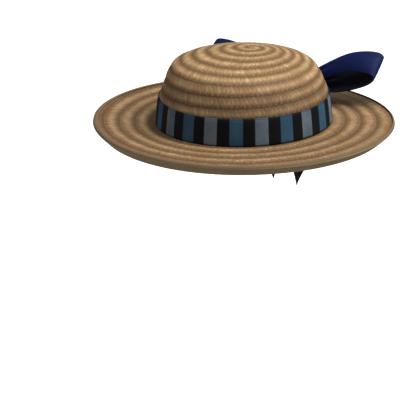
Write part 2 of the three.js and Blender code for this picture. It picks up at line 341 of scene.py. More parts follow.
def spin_round(bm, section, axis, steps):
    """Spins a section a full turn: one sector in small steps, then copies of it, joined where they meet."""
    still = (0, 0, 0)
    about = {"cent": still, "axis": axis, "dvec": still, "space": Matrix.Identity(4), "use_merge": False}
    bmesh.ops.spin(bm, geom=section, angle=TAU / SECTORS, steps=steps // SECTORS, **about)
    sector = bm.verts[:] + bm.edges[:] + bm.faces[:]
    rest = TAU - TAU / SECTORS
    bmesh.ops.spin(bm, geom=sector, angle=rest, steps=SECTORS - 1, use_duplicate=True, **about)
    bmesh.ops.remove_doubles(bm, verts=bm.verts, dist=1e-6)
    bmesh.ops.recalc_face_normals(bm, faces=bm.faces)


def piece_from(bm, name):
    mesh = bpy.data.meshes.new(name)
    bm.to_mesh(mesh)
    bm.free()
    mesh.shade_smooth()
    piece = bpy.data.objects.new(name, mesh)
    bpy.context.scene.collection.objects.link(piece)
    return piece


def places(piece):
    """The places of a piece's vertices, in millimetres."""
    co = np.empty(len(piece.data.vertices) * 3)
    piece.data.vertices.foreach_get("co", co)
    return co.reshape(-1, 3) / MM


def move_to(piece, co):
    piece.data.vertices.foreach_set("co", (np.asarray(co) * MM).ravel())
    piece.data.update()


def move_round(piece, radius, turn, height):
    move_to(piece, np.stack([radius * np.cos(turn), radius * np.sin(turn), height], axis=1))


def stations(piece):
    values = np.empty(len(piece.data.vertices))
    piece.data.attributes["station"].data.foreach_get("value", values)
    return np.rint(values).astype(int)


def turns_of(piece):
    """Each vertex's turn round Z, before the piece is drawn out into an oval, from 0 to a full turn."""
    co = places(piece)
    return np.mod(np.arctan2(co[:, 1], co[:, 0]), TAU)


def face_corners(piece):
    """The vertex of each face corner, and the number of the face that it belongs to."""
    mesh = piece.data
    verts = np.empty(len(mesh.loops), int)
    mesh.loops.foreach_get("vertex_index", verts)
    totals = np.empty(len(mesh.polygons), int)
    mesh.polygons.foreach_get("loop_total", totals)
    return verts, np.repeat(np.arange(len(totals)), totals)


def corner_turns(piece, turns, at_pole):
    """Each face corner's turn, with no jump inside a face, and the turn of its face's middle."""
    verts, faces = face_corners(piece)
    pole = at_pole[verts]
    weight = np.where(pole, 0.0, 1.0)
    middle = np.arctan2(
        np.bincount(faces, np.sin(turns[verts]) * weight),
        np.bincount(faces, np.cos(turns[verts]) * weight),
    )
    middle = np.mod(middle, TAU)[faces]
    away = np.mod(turns[verts] - middle + math.pi, TAU) - math.pi
    return np.where(pole, middle, middle + away), middle


def lay_map(piece, name, across, up):
    layer = piece.data.uv_layers.new(name=name)
    layer.data.foreach_set("uv", np.stack([across, up], axis=1).ravel().astype(np.float32))


def ribbon_map(piece, section, radius):
    """Lays a turned ribbon's own map, in metres round and across it. Its face is the section's first half."""
    station = stations(piece)
    gone = travel(section)
    half = len(section) // 2
    across = np.where(np.arange(len(section)) < half, gone, gone[-1] - gone)
    across = across - across[:half].max() / 2
    turns, middle = corner_turns(piece, turns_of(piece), np.zeros(len(station), bool))
    verts, _ = face_corners(piece)
    lay_map(piece, "Ribbon", turns * radius * MM, across[station[verts]] * MM)
    return turns, middle


def draw_oval(piece, waved=False):
    """Draws a round piece out into the head's oval, and gives the brim its wave."""
    co = places(piece)
    radius = np.hypot(co[:, 0], co[:, 1])
    turn = np.arctan2(co[:, 1], co[:, 0])
    if waved:
        co[:, 2] += brim_wave(radius, turn)
    co[:, 1] *= np.where(radius > 1e-6, lengthen(radius) / np.maximum(radius, 1e-9), 1)
    move_to(piece, co)


def put_on(piece, node, slot, *materials):
    for made in materials:
        piece.data.materials.append(made)
    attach(piece, "root")
    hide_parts(node)


# Braid


def plait_numbers(rows, distances, radii, row_width):
    """How many plaits go once round each row."""
    at = np.clip(rows * row_width, distances.min(), distances.max())
    order = np.argsort(distances)
    radius = np.interp(at, distances[order], radii[order])
    return np.maximum(6, np.round(TAU * radius / PLAIT_PITCH))


def braid(piece, line, distance, row_width, strands, fade):
    """Raises rows of plaited braid on a turned piece, and lays the map that its straw follows.

    distance: each station's distance across the rows. fade: each station's share of the full relief."""
    station = stations(piece)
    turn = turns_of(piece)
    co = places(piece)
    at_pole = np.hypot(co[:, 0], co[:, 1]) < 1e-4
    along = np.gradient(line, axis=0)
    along /= np.maximum(1e-9, np.linalg.norm(along, axis=1))[:, None]
    outward = np.stack([along[:, 1], -along[:, 0]], axis=1)
    row = distance[station] / row_width + turn / TAU
    whole = np.floor(row)
    part = row - whole
    plaits = turn / TAU * plait_numbers(whole, distance, line[:, 0], row_width)
    crossing = np.sin(math.pi * (plaits + strands * part)) * np.sin(math.pi * (plaits - strands * part))
    swell = 1 - np.abs(2 * part - 1) ** ROW_FULLNESS
    relief = ROW_RISE * swell + ROW_STEP * (part - 0.5) + PLAIT_RISE * crossing * swell
    relief = relief * fade[station]
    radius = line[station, 0] + relief * outward[station, 0]
    height = line[station, 1] + relief * outward[station, 1]
    move_round(piece, np.where(at_pole, 0, radius), turn, height)
    turns, _ = corner_turns(piece, turn, at_pole)
    verts, faces = face_corners(piece)
    rows = distance[station[verts]] / row_width + turns / TAU
    row_of_face = np.floor(np.bincount(faces, rows) / np.bincount(faces))
    count = plait_numbers(row_of_face, distance, line[:, 0], row_width)
    lay_map(piece, "Braid", turns / TAU * count[faces], rows)


# Node groups


def add(tree, kind, inputs=(), **settings):
    """A node in a tree, with its settings, and its inputs linked or set by name or number."""
    node = tree.nodes.new(kind)
    for key, value in settings.items():
        setattr(node, key, value)
    for key, value in dict(inputs).items():
        if isinstance(value, bpy.types.NodeSocket):
            tree.links.new(value, node.inputs[key])
        else:
            node.inputs[key].default_value = value
    return node


def use(tree, made, **inputs):
    """The outputs of a node group placed in a material. A space in an input's name is written as _ here."""
    named = {key.replace("_", " "): value for key, value in inputs.items()}
    return add(tree, "ShaderNodeGroup", named, node_tree=made).outputs


def maths(tree, kind, *values):
    return add(tree, "ShaderNodeMath", dict(enumerate(values)), operation=kind).outputs[0]


def times(tree, value, factor):
    return maths(tree, "MULTIPLY", value, factor)


def size_of(tree, value):
    return maths(tree, "ABSOLUTE", value)


def ease(tree, value, low, high, to_low=0.0, to_high=1.0):
    """A value eased from one range to another."""
    inputs = {0: value, 1: low, 2: high, 3: to_low, 4: to_high}
    return add(tree, "ShaderNodeMapRange", inputs, interpolation_type="SMOOTHSTEP").outputs[0]


def blend_values(tree, share, low, high):
    return add(tree, "ShaderNodeMix", {0: share, 2: low, 3: high}, data_type="FLOAT").outputs[0]


def blend_colours(tree, share, low, high, kind="MIX"):
    inputs = {0: share, 6: low, 7: high}
    return add(tree, "ShaderNodeMix", inputs, data_type="RGBA", blend_type=kind).outputs[2]


def layered(tree, base, layers):
    """A colour with others laid over it in turn: how much of each, and the colour."""
    for share, shade in layers:
        base = blend_colours(tree, share, base, shade)
    return base


def darkened(tree, base, level):
    """A colour times a grey level."""
    grey = add(tree, "ShaderNodeCombineColor", {0: level, 1: level, 2: level}).outputs[0]
    return blend_colours(tree, 1.0, base, grey, "MULTIPLY")


def noise(tree, where, scale, detail=3.0, rough=0.55):
    inputs = {"Vector": where, "Scale": scale, "Detail": detail, "Roughness": rough}
    return add(tree, "ShaderNodeTexNoise", inputs).outputs["Fac"]


def vector(tree, x, y, z=0.0):
    return add(tree, "ShaderNodeCombineXYZ", {0: x, 1: y, 2: z}).outputs[0]


def split(tree, where):
    """The X, Y and Z of a vector."""
    return add(tree, "ShaderNodeSeparateXYZ", {0: where}).outputs[:3]


def length_of(tree, where):
    return add(tree, "ShaderNodeVectorMath", {0: where}, operation="LENGTH").outputs["Value"]


def bump(tree, height, strength, distance, under=None):
    inputs = {"Height": height, "Strength": strength, "Distance": distance}
    if under is not None:
        inputs["Normal"] = under
    return add(tree, "ShaderNodeBump", inputs).outputs[0]


def colour(red, green, blue):
    """A screen colour, 0 to 255, as the linear colour that a shader takes."""
    parts = [c / 255 for c in (red, green, blue)]
    return (*[c / 12.92 if c <= 0.04045 else ((c + 0.055) / 1.055) ** 2.4 for c in parts], 1.0)


def group(name, inputs, outputs):
    """An empty node group, with inputs named with their kinds, and outputs that are all numbers."""
    tree = bpy.data.node_groups.new(name, "ShaderNodeTree")
    for label, kind in inputs:
        tree.interface.new_socket(name=label, in_out="INPUT", socket_type="NodeSocket" + kind)
    for label in outputs:
        tree.interface.new_socket(name=label, in_out="OUTPUT", socket_type="NodeSocketFloat")
    return tree, tree.nodes.new("NodeGroupInput").outputs, tree.nodes.new("NodeGroupOutput").inputs


def give(tree, result, values):
    for label, value in values.items():
        tree.links.new(value, result[label])


def plaited_straw():
    """Strands of flat straw plaited over and under each other across a row of braid."""
    outputs = ["Height", "Strand", "Fibre", "Valley shade", "Seam", "Ripeness", "Thread"]
    tree, given, result = group("Plaited straw", [("Braid", "Vector"), ("Strands", "Float")], outputs)
    plaits, rows, _ = split(tree, given["Braid"])
    part = maths(tree, "FRACT", rows)
    row = maths(tree, "FLOOR", rows)
    slant = times(tree, part, given["Strands"])
    left = maths(tree, "ADD", plaits, slant)
    right = maths(tree, "SUBTRACT", plaits, slant)
    wave_left = maths(tree, "SINE", times(tree, left, math.pi))
    wave_right = maths(tree, "SINE", times(tree, right, math.pi))
    over = ease(tree, times(tree, wave_left, wave_right), -0.12, 0.12)
    dome = blend_values(tree, over, size_of(tree, wave_right), size_of(tree, wave_left))
    tints = []
    fibres = []
    for strand, other in ((left, right), (right, left)):
        cell = vector(tree, maths(tree, "FLOOR", strand), row, 3.0)
        tints.append(add(tree, "ShaderNodeTexWhiteNoise", {"Vector": cell}, noise_dimensions="3D").outputs[0])
        streak = vector(tree, times(tree, strand, 9.0), times(tree, other, 0.9), row)
        fibres.append(noise(tree, streak, 1.0, 2.0, 0.6))
    along_row = vector(tree, times(tree, plaits, 0.16), times(tree, rows, 1.7), 5.0)
    across_row = vector(tree, times(tree, plaits, 2.6), times(tree, rows, 1.1), 9.0)
    long_patches = noise(tree, along_row, 1.0, 3.0)
    short_patches = noise(tree, across_row, 1.0, 3.0, 0.7)
    edge = size_of(tree, maths(tree, "SUBTRACT", times(tree, part, 2.0), 1.0))
    near_stitch = ease(tree, size_of(tree, maths(tree, "SUBTRACT", part, 0.9)), 0.035, 0.02)
    dash = ease(tree, maths(tree, "FRACT", times(tree, plaits, 0.7)), 0.42, 0.5)
    give(tree, result, {
        "Height": maths(tree, "POWER", dome, 0.6),
        "Strand": blend_values(tree, over, tints[1], tints[0]),
        "Fibre": blend_values(tree, over, fibres[1], fibres[0]),
        # Valley shade: painted shade, growing from the middle of a row to its edges.
        "Valley shade": ease(tree, edge, 0.0, 0.85),
        "Seam": ease(tree, edge, 0.8, 1.0),
        "Ripeness": blend_values(tree, 0.5, long_patches, short_patches),
        "Thread": times(tree, near_stitch, dash),
    })
    return tree


def ribbed_cloth():
    """Fine ribs that run across a ribbon, with the threads that cross them and a firm woven edge."""
    inputs = [("Ribbon", "Vector"), ("Rib pitch", "Float"), ("Half width", "Float")]
    tree, given, result = group("Ribbed cloth", inputs, ["Height", "Thread", "Edge"])
    along, across, _ = split(tree, given["Ribbon"])
    ribs = maths(tree, "DIVIDE", along, given["Rib pitch"])
    threads = maths(tree, "DIVIDE", across, given["Rib pitch"])
    wave = size_of(tree, maths(tree, "SINE", times(tree, ribs, math.pi)))
    crossing = maths(tree, "SINE", times(tree, threads, 4.0 * math.pi))
    inset = maths(tree, "SUBTRACT", given["Half width"], size_of(tree, across))
    give(tree, result, {
        "Height": maths(tree, "ADD", wave, times(tree, crossing, 0.12)),
        "Thread": noise(tree, vector(tree, ribs, times(tree, threads, 0.05)), 1.0, 2.0),
        "Edge": ease(tree, inset, 0.0012, 0.0006),
    })
    return tree


def patina():
    """Slow changes of shade over a piece, from handling, sun and dust."""
    tree, given, result = group("Patina", [("Place", "Vector"), ("Scale", "Float")], ["Shade"])
    wide = noise(tree, given["Place"], given["Scale"], 4.0)
    give(tree, result, {"Shade": ease(tree, wide, 0.3, 0.7)})
    return tree


PLAITED_STRAW = plaited_straw()
RIBBED_CLOTH = ribbed_cloth()
PATINA = patina()


# Materials


def material(name):
    made = bpy.data.materials.new(name)
    made.use_nodes = True
    tree = made.node_tree
    return made, tree, tree.nodes["Principled BSDF"]


def map_of(tree, name):
    return add(tree, "ShaderNodeUVMap", uv_map=name).outputs[0]


def place_of(tree):
    return add(tree, "ShaderNodeTexCoord").outputs["Object"]


def painted_loop_shadow(tree, x, y):
    """How dark the painted shadow beneath the bow is: most at the middle of the patch under either loop."""
    parts = []
    for value, middle, half in zip((size_of(tree, x), y), LOOP_SHADOW_MIDDLE, LOOP_SHADOW_HALF):
        parts.append(maths(tree, "DIVIDE", maths(tree, "SUBTRACT", value, middle * MM), half * MM))
    return ease(tree, length_of(tree, vector(tree, *parts)), 1.25, 0.3, 0.0, 0.85)


def straw_material(name, strands, tone, dulled_below):
    """Plaited straw. tone: its brightness. dulled_below: the height in metres below which dust dulls it."""
    made, tree, shader = material(name)
    place = place_of(tree)
    straw = use(tree, PLAITED_STRAW, Braid=map_of(tree, "Braid"), Strands=strands)
    slow = use(tree, PATINA, Place=place, Scale=14.0)["Shade"]
    drift = noise(tree, place, 38.0, 3.0)
    x, y, up = split(tree, place)
    dust = ease(tree, up, dulled_below, dulled_below - DULLED_DEPTH * MM)
    dusty = times(tree, dust, maths(tree, "ADD", slow, 0.6))
    flat = add(tree, "ShaderNodeVectorMath", {0: place, 1: (1.0, 0.97, 0.0)}, operation="MULTIPLY").outputs[0]
    handled = ease(tree, length_of(tree, flat), OUTER_ROW[0] * MM, OUTER_ROW[1] * MM, 0.0, 0.4)
    ripe = blend_colours(tree, straw["Strand"], colour(176, 141, 98), colour(210, 178, 134))
    worn = layered(tree, ripe, [
        (ease(tree, straw["Ripeness"], 0.42, 0.66, 0.0, 0.6), colour(146, 106, 68)),
        (ease(tree, drift, 0.5, 0.7, 0.0, 0.3), colour(150, 134, 78)),
        (ease(tree, drift, 0.5, 0.34, 0.0, 0.3), colour(186, 134, 104)),
        (times(tree, slow, 0.3), colour(142, 110, 74)),
        # Painted shade in the valleys between rows, towards a darker brown.
        (times(tree, straw["Valley shade"], 0.72), colour(100, 72, 46)),
        (times(tree, straw["Seam"], 0.25), colour(62, 38, 20)),
        (times(tree, dusty, 0.34), colour(84, 66, 46)),
        (handled, colour(122, 84, 54)),
    ])
    toned = blend_colours(tree, 1.0, worn, (tone, tone, tone, 1.0), "MULTIPLY")
    # Painted shadow: the straw beneath either bow loop darkened towards a dark brown.
    loop_shadowed = blend_colours(tree, painted_loop_shadow(tree, x, y), toned, colour(52, 42, 33))
    fibre = ease(tree, straw["Fibre"], 0.3, 0.7, 0.72, 1.18)
    # Painted shade: the straw darkened to 0.72 where a strand dips under its neighbour; the fibre streaks are
    # its own grain.
    hollow_shade = ease(tree, straw["Height"], 0.15, 0.75, 0.72, 1.0)
    shaded = darkened(tree, loop_shadowed, times(tree, fibre, hollow_shade))
    threaded = blend_colours(tree, times(tree, straw["Thread"], 0.4), shaded, colour(170, 142, 100))
    plaits = bump(tree, straw["Height"], 0.6, 0.0006)
    fibres = bump(tree, straw["Fibre"], 0.35, 0.0002, plaits)
    stitches = bump(tree, straw["Thread"], 0.5, 0.0003, fibres)
    rough = ease(tree, straw["Fibre"], 0.2, 0.8, 0.48, 0.7)
    give(tree, shader.inputs, {"Base Color": threaded, "Roughness": rough, "Normal": stitches})
    shader.inputs["Specular IOR Level"].default_value = 0.12
    return made


def tape_material():
    made, tree, shader = material("khaki_tape")
    cloth = use(tree, RIBBED_CLOTH, Ribbon=map_of(tree, "Ribbon"), Rib_pitch=0.0008, Half_width=0.0106)
    slow = use(tree, PATINA, Place=place_of(tree), Scale=30.0)["Shade"]
    base = blend_colours(tree, slow, colour(160, 139, 108), colour(172, 150, 118))
    edged = layered(tree, base, [
        (ease(tree, cloth["Thread"], 0.35, 0.7, 0.0, 0.35), colour(176, 154, 122)),
        (times(tree, cloth["Edge"], 0.7), colour(78, 60, 40)),
    ])
    give(tree, shader.inputs, {"Base Color": edged, "Normal": bump(tree, cloth["Height"], 0.5, 0.0002)})
    shader.inputs["Roughness"].default_value = 0.9
    shader.inputs["Specular IOR Level"].default_value = 0.08
    return made


def stripe(tree, part, start, end):
    """1 inside a stripe of the band, eased at its two edges."""
    soft = 0.016
    return times(tree, ease(tree, part, start, start + soft), ease(tree, part, end, end - soft))


def band_material():
    made, tree, shader = material("striped_band")
    cloth = use(tree, RIBBED_CLOTH, Ribbon=map_of(tree, "Ribbon"), Rib_pitch=0.0011, Half_width=0.014)
    slow = use(tree, PATINA, Place=place_of(tree), Scale=40.0)["Shade"]
    periods, _, _ = split(tree, map_of(tree, "Stripe"))
    part = maths(tree, "FRACT", periods)
    black = colour(9, 10, 15)
    blue = blend_colours(tree, slow, colour(43, 74, 97), colour(58, 90, 114))
    grey = blend_colours(tree, slow, colour(85, 97, 109), colour(106, 118, 130))
    striped = layered(tree, black, [
        (stripe(tree, part, 0.0, 0.276), blue),
        (stripe(tree, part, 0.492, 0.768), grey),
    ])
    # Painted shade and highlight: the grooves between the ribs darkened to 0.72, their ridges lightened to
    # 1.08.
    woven = darkened(tree, striped, ease(tree, cloth["Height"], 0.0, 0.9, 0.72, 1.08))
    edged = blend_colours(tree, times(tree, cloth["Edge"], 0.5), woven, black)
    give(tree, shader.inputs, {"Base Color": edged, "Normal": bump(tree, cloth["Height"], 0.55, 0.00025)})
    shader.inputs["Roughness"].default_value = 0.7
    shader.inputs["Specular IOR Level"].default_value = 0.15
    return made


def ribbon_material(name, face, sheen, rough, gloss):
    made, tree, shader = material(name)
    flat = map_of(tree, "Ribbon")
    cloth = use(tree, RIBBED_CLOTH, Ribbon=flat, Rib_pitch=0.0005, Half_width=RIBBON_WIDTH / 2 * MM)
    along, across, _ = split(tree, flat)
    streaks = vector(tree, times(tree, along, 60.0), times(tree, across, 900.0))
    fine = ease(tree, noise(tree, streaks, 1.0, 2.0), 0.3, 0.75)
    edged = layered(tree, face, [
        (times(tree, fine, 0.3), sheen),
        (times(tree, cloth["Edge"], 0.6), colour(10, 12, 26)),
    ])
    crease = bump(tree, noise(tree, place_of(tree), 55.0, 2.0), 0.12, 0.002)
    give(tree, shader.inputs, {
        "Base Color": edged,
        "Roughness": ease(tree, fine, 0.0, 1.0, rough - 0.05, rough + 0.08),
        "Normal": bump(tree, cloth["Height"], 0.35, 0.00012, crease),
    })
    shader.inputs["Specular IOR Level"].default_value = gloss
    return made


STRAW_CROWN = straw_material("plaited_straw_crown", CROWN_STRANDS, 1.0, 0.062)
STRAW_BRIM = straw_material("plaited_straw_brim", BRIM_STRANDS, 0.78, -0.1)
TAPE = tape_material()
BAND = band_material()
SATIN = ribbon_material("navy_satin", colour(6, 18, 62), colour(14, 37, 98), 0.58, 0.12)
REVERSE = ribbon_material("navy_satin_reverse", colour(26, 29, 42), colour(42, 45, 58), 0.6, 0.15)


# Crown

CROWN_POINTS = [(out * CROWN_OUT, up * CROWN_HEIGHT, 0) for up, out in CROWN_SHAPE]
CROWN_LINE = smooth_through(CROWN_POINTS, CROWN_LINE_POINTS)[:, :2]


def crown_radius(up):
    return np.interp(up, CROWN_LINE[:, 1], CROWN_LINE[:, 0])


def crown_height(out):
    return np.interp(out, CROWN_LINE[::-1, 0], CROWN_LINE[::-1, 1])


def slide_tip(piece):
    """Slides the rows near the tip along the dome, since the sewing starts a little behind its middle."""
    co = places(piece)
    radius = np.hypot(co[:, 0], co[:, 1])
    share = np.clip(1 - (radius / TIP_REACH) ** 2, 0, 1) ** 2
    co[:, 0] += TIP_SLIDE[0] * share
    co[:, 1] += TIP_SLIDE[1] * share
    co[:, 2] += crown_height(np.hypot(co[:, 0], co[:, 1])) - crown_height(radius)
    move_to(piece, co)


def fill_shoulder(piece):
    """Fills out the dome's shoulder a little on one side, as a crown pressed by hand is never quite even."""
    co = places(piece)
    turn = np.arctan2(co[:, 1], co[:, 0]) - PICTURE_LEFT
    radius = np.hypot(co[:, 0], co[:, 1])
    level = np.clip((co[:, 2] / CROWN_HEIGHT - SHOULDER_FROM) / SHOULDER_SPAN, 0, 1) ** 2
    level = level * np.clip(radius / SHOULDER_OUT, 0, 1) ** 2
    full = SHOULDER_FILL * level * np.clip(np.cos(turn), 0, 1) ** 1.5
    co[:, :2] *= (1 + full / np.maximum(radius, 1))[:, None]
    co[:, 2] += SHOULDER_LIFT * full
    move_to(piece, co)


def make_crown():
    outside = CROWN_LINE.copy()
    outside[0] = (CROWN_OUT, CLEARANCE)
    outside[-1] = (0, CROWN_HEIGHT)
    inside = offset_line(CROWN_LINE[::3], STRAW_WALL)
    inside[0] = (CROWN_OUT - STRAW_WALL, CLEARANCE)
    inside[-1] = (0, CROWN_HEIGHT - STRAW_WALL)
    inside[:, 0] = np.maximum(inside[:, 0], 0)
    line = np.concatenate([inside[::-1], outside])
    gone = travel(outside)
    from_tip = gone[-1] - gone
    inner_from_tip = np.interp(np.linspace(0, 1, len(inside)), np.linspace(0, 1, len(outside)), from_tip)
    distance = np.concatenate([inner_from_tip[::-1], from_tip])
    fade = np.concatenate([np.full(len(inside), INSIDE_RELIEF), np.clip(from_tip / CROWN_ROW, TIP_RELIEF, 1)])
    rim = len(inside)
    fade[rim - 1 : rim + 2] = 0
    piece = turned("straw_crown", line, CROWN_STEPS, closed=False)
    braid(piece, line, distance, CROWN_ROW, CROWN_STRANDS, fade)
    slide_tip(piece)
    fill_shoulder(piece)
    draw_oval(piece)
    put_on(piece, "crown", "straw", STRAW_CROWN)


# Brim

EDGE_TOP = -BRIM_FALL
EDGE_CORNER = (BRIM_EDGE - BRIM_WALL / 2, EDGE_TOP)
EDGE_SIDE = (BRIM_EDGE, EDGE_TOP - BRIM_WALL / 2)
TURN_LENGTH = math.hypot(TURN_UNDER_INSET, TURN_UNDER_DROP)
TURN_END = (EDGE_SIDE[0] - TURN_UNDER_INSET, EDGE_SIDE[1] - TURN_UNDER_DROP)
TURN_END_INSIDE = (
    TURN_END[0] - TURN_UNDER_DROP / TURN_LENGTH * BRIM_WALL,
    TURN_END[1] + TURN_UNDER_INSET / TURN_LENGTH * BRIM_WALL,
)
CREASE_UP = EDGE_TOP - BRIM_WALL
CREASE_OUT = TURN_END_INSIDE[0] + (CREASE_UP - TURN_END_INSIDE[1]) * TURN_UNDER_INSET / TURN_UNDER_DROP


def make_brim():
    collar_top = crown_radius(COLLAR_HEIGHT) - STRAW_WALL - CLEARANCE
    opening = HEAD_WIDTH / 2
    mouth = (opening, -BRIM_WALL)
    crease = (CREASE_OUT, CREASE_UP)
    foot = (CROWN_OUT, 0)
    inner_top = (collar_top - COLLAR_WALL, COLLAR_HEIGHT)
    inner = rounded([inner_top, (opening, 0), mouth], radius=1, spacing=1.5)
    under = rounded([mouth, crease], radius=1, spacing=1.9)[1:]
    lip = rounded([crease, TURN_END_INSIDE, TURN_END, EDGE_SIDE, EDGE_CORNER], radius=1.4, spacing=1.3)[1:]
    top = rounded([EDGE_CORNER, foot], radius=1, spacing=1.2)[1:]
    collar = rounded([foot, (COLLAR_OUT, 0), (collar_top, COLLAR_HEIGHT)], radius=0.3, spacing=2)[1:]
    line = np.concatenate([inner, under, lip, top, collar])
    under_at, lip_at, top_at, collar_at = np.cumsum([len(inner), len(under), len(lip), len(top)])
    fade = np.zeros(len(line))
    fade[under_at + 3 : lip_at - 2] = UNDERSIDE_RELIEF
    fade[top_at + 2 : collar_at] = 1
    distance = line[:, 0] - CROWN_OUT
    distance[lip_at:top_at] = np.linspace(distance[lip_at], distance[top_at - 1], len(lip))
    piece = turned("straw_brim", line, BRIM_STEPS, closed=True)
    braid(piece, line, distance, BRIM_WIDTH / BRIM_ROWS, BRIM_STRANDS, fade)
    draw_oval(piece, waved=True)
    put_on(piece, "brim", "straw", STRAW_BRIM)


# Edge tape


def make_tape():
    top_end = (BRIM_EDGE - TAPE_ON_TOP, EDGE_TOP + TAPE_TOP_LIFT)
    inside_end = (
        TURN_END_INSIDE[0] + TURN_UNDER_INSET / TURN_LENGTH * TAPE_INSIDE,
        TURN_END_INSIDE[1] + TURN_UNDER_DROP / TURN_LENGTH * TAPE_INSIDE,
    )
    corners = [top_end, EDGE_CORNER, EDGE_SIDE, TURN_END, TURN_END_INSIDE, inside_end]
    line = rounded(corners, radius=1.5, spacing=0.9)
    middle = offset_line(line, CLEARANCE + TAPE_THICKNESS / 2)
    near = offset_line(middle, -TAPE_THICKNESS / 2)
    far = offset_line(middle, TAPE_THICKNESS / 2)
    section = np.concatenate([far, near[::-1]])
    piece = turned("edge_tape", section, TAPE_STEPS, closed=True)
    ribbon_map(piece, section, BRIM_EDGE)
    turn = turns_of(piece)
    co = places(piece)
    radius = np.hypot(co[:, 0], co[:, 1])
    inward = np.clip((BRIM_EDGE - radius) / TAPE_ON_TOP, 0, 1) * (co[:, 2] > EDGE_TOP)
    outer = co[:, 2] < EDGE_TOP
    radius = radius - TAPE_SHIFT * np.cos(turn - PICTURE_LEFT) * inward
    size, count, slant = TAPE_WAVER
    radius = radius + size * np.sin(turn * count + co[:, 2] * slant) * outer
    move_round(piece, radius, turn, co[:, 2] + ripple(turn, TAPE_PUCKER) * inward)
    draw_oval(piece, waved=True)
    put_on(piece, "edge_binding", "edge_tape", TAPE)


# Band


def band_radius(up):
    """The radius of the band's outer face."""
    return crown_radius(up) + ROW_RISE + CLEARANCE + BAND_THICKNESS


def make_band():
    foot = 2 * CLEARANCE
    up = np.linspace(BAND_HEIGHT, foot, BAND_LINE_POINTS)
    far = np.stack([band_radius(up), up], axis=1)
    near = far - np.array([BAND_THICKNESS, 0])
    share = (up - foot) / (BAND_HEIGHT - foot)
    far[:, 0] -= BAND_EDGE_ROLL * np.abs(2 * share - 1) ** 8
    section = np.concatenate([far, near[::-1]])
    piece = turned("striped_band", section, BAND_STEPS, closed=True)
    turns, middle = ribbon_map(piece, section, CROWN_OUT)
    # The stripes start and end behind the knot, a quarter turn from X.
    turns = turns + TAU * (middle < math.pi / 2)
    lay_map(piece, "Stripe", (turns - BLUE_START) / STRIPE_PERIOD, np.zeros(len(turns)))
    turn = turns_of(piece)
    co = places(piece)
    radius = np.hypot(co[:, 0], co[:, 1]) + ripple(turn, BAND_RIPPLE)
    height = co[:, 2] + ripple(turn, BAND_TOP_RIPPLE) * (co[:, 2] > BAND_HEIGHT / 2)
    move_round(piece, radius, turn, height)
    draw_oval(piece)
    put_on(piece, "hat_band", "striped_band", BAND)


# Bow

KNOT_UP = (BAND_HEIGHT + 2 * CLEARANCE) / 2
BAND_BACK = float(lengthen(band_radius(KNOT_UP)))
KNOT_BACK = BAND_BACK + 2 * CLEARANCE + KNOT_DEPTH / 2


def make_knot():
    """The wrap of the bow, turned round X and pressed to its oval, with folds that run round it."""
    bm = bmesh.new()
    half = KNOT_WIDTH / 2
    section = [(inset - half, share) for inset, share in KNOT_RIM]
    for i in range(KNOT_LINE_POINTS + 1):
        out = 2 * i / KNOT_LINE_POINTS - 1
        section.append((half * out, 1 - KNOT_TAPER * abs(out) ** 4))
    section += [(half - inset, share) for inset, share in reversed(KNOT_RIM)]
    verts = [bm.verts.new((along * MM, 0, share * MM)) for along, share in section]
    edges = [bm.edges.new(pair) for pair in zip(verts, verts[1:] + verts[:1])]
    spin_round(bm, verts + edges, (1, 0, 0), KNOT_STEPS)
    piece = piece_from(bm, "bow_wrap")
    co = places(piece)
    turn = np.arctan2(co[:, 2], co[:, 1])
    share = np.hypot(co[:, 1], co[:, 2])
    folds = np.zeros(len(co))
    for size, count, start, sway, sway_start in KNOT_FOLDS:
        folds += size * np.sin(co[:, 0] * count + sway * np.sin(turn + sway_start) + start)
    on_skin = share > 0.85
    share = np.where(on_skin, share * (KNOT_LEVEL + folds), share)
    square = 1 + KNOT_SQUARE * np.cos(4 * turn)
    co[:, 0] *= 1 - KNOT_PINCH * np.cos(turn) ** 2
    co[:, 1] = np.cos(turn) * share * KNOT_DEPTH / 2 / square + KNOT_BACK
    co[:, 2] = np.sin(turn) * share * KNOT_HEIGHT / 2 / square + KNOT_UP
    move_to(piece, co)
    verts, _ = face_corners(piece)
    turns, _ = corner_turns(piece, np.mod(turn, TAU), np.zeros(len(co), bool))
    lay_map(piece, "Ribbon", turns * KNOT_HEIGHT / 2 * MM, co[verts, 0] * 1.2 * MM)
    put_on(piece, "bow_knot", "ribbon", SATIN)


def strip(name, cells):
    """A flat strip of cloth, one unit wide on X and one long on Y, ready to be bent."""
    bm = bmesh.new()
    bmesh.ops.create_grid(bm, x_segments=cells[0], y_segments=cells[1], size=0.5)
    return piece_from(bm, name)


def bend_strip(piece, place_at, length):
    """Moves each point of a strip to its place, and lays its ribbon map."""
    flat = places(piece) * MM
    across = flat[:, 0]
    share = flat[:, 1] + 0.5
    move_to(piece, place_at(across, share))
    verts, _ = face_corners(piece)
    lay_map(piece, "Ribbon", share[verts] * length * MM, across[verts] * RIBBON_WIDTH * MM)


def thicken(piece):
    """Gives a strip its thickness, with the reverse of the ribbon on its other side."""
    wall = piece.modifiers.new("cloth", "SOLIDIFY")
    wall.thickness = RIBBON_THICKNESS * MM
    wall.offset = 0
    wall.material_offset = 1
    wall.material_offset_rim = 1


def along_course(course, share):
    """A course's centre, its direction and its other columns at each share of its length."""
    at = np.linspace(0, 1, len(course))
    direction = columns_at(share, at, np.gradient(course[:, :3], axis=0))
    direction /= np.linalg.norm(direction, axis=1)[:, None]
    values = columns_at(share, at, course)
    return values[:, :3], direction, values[:, 3:]


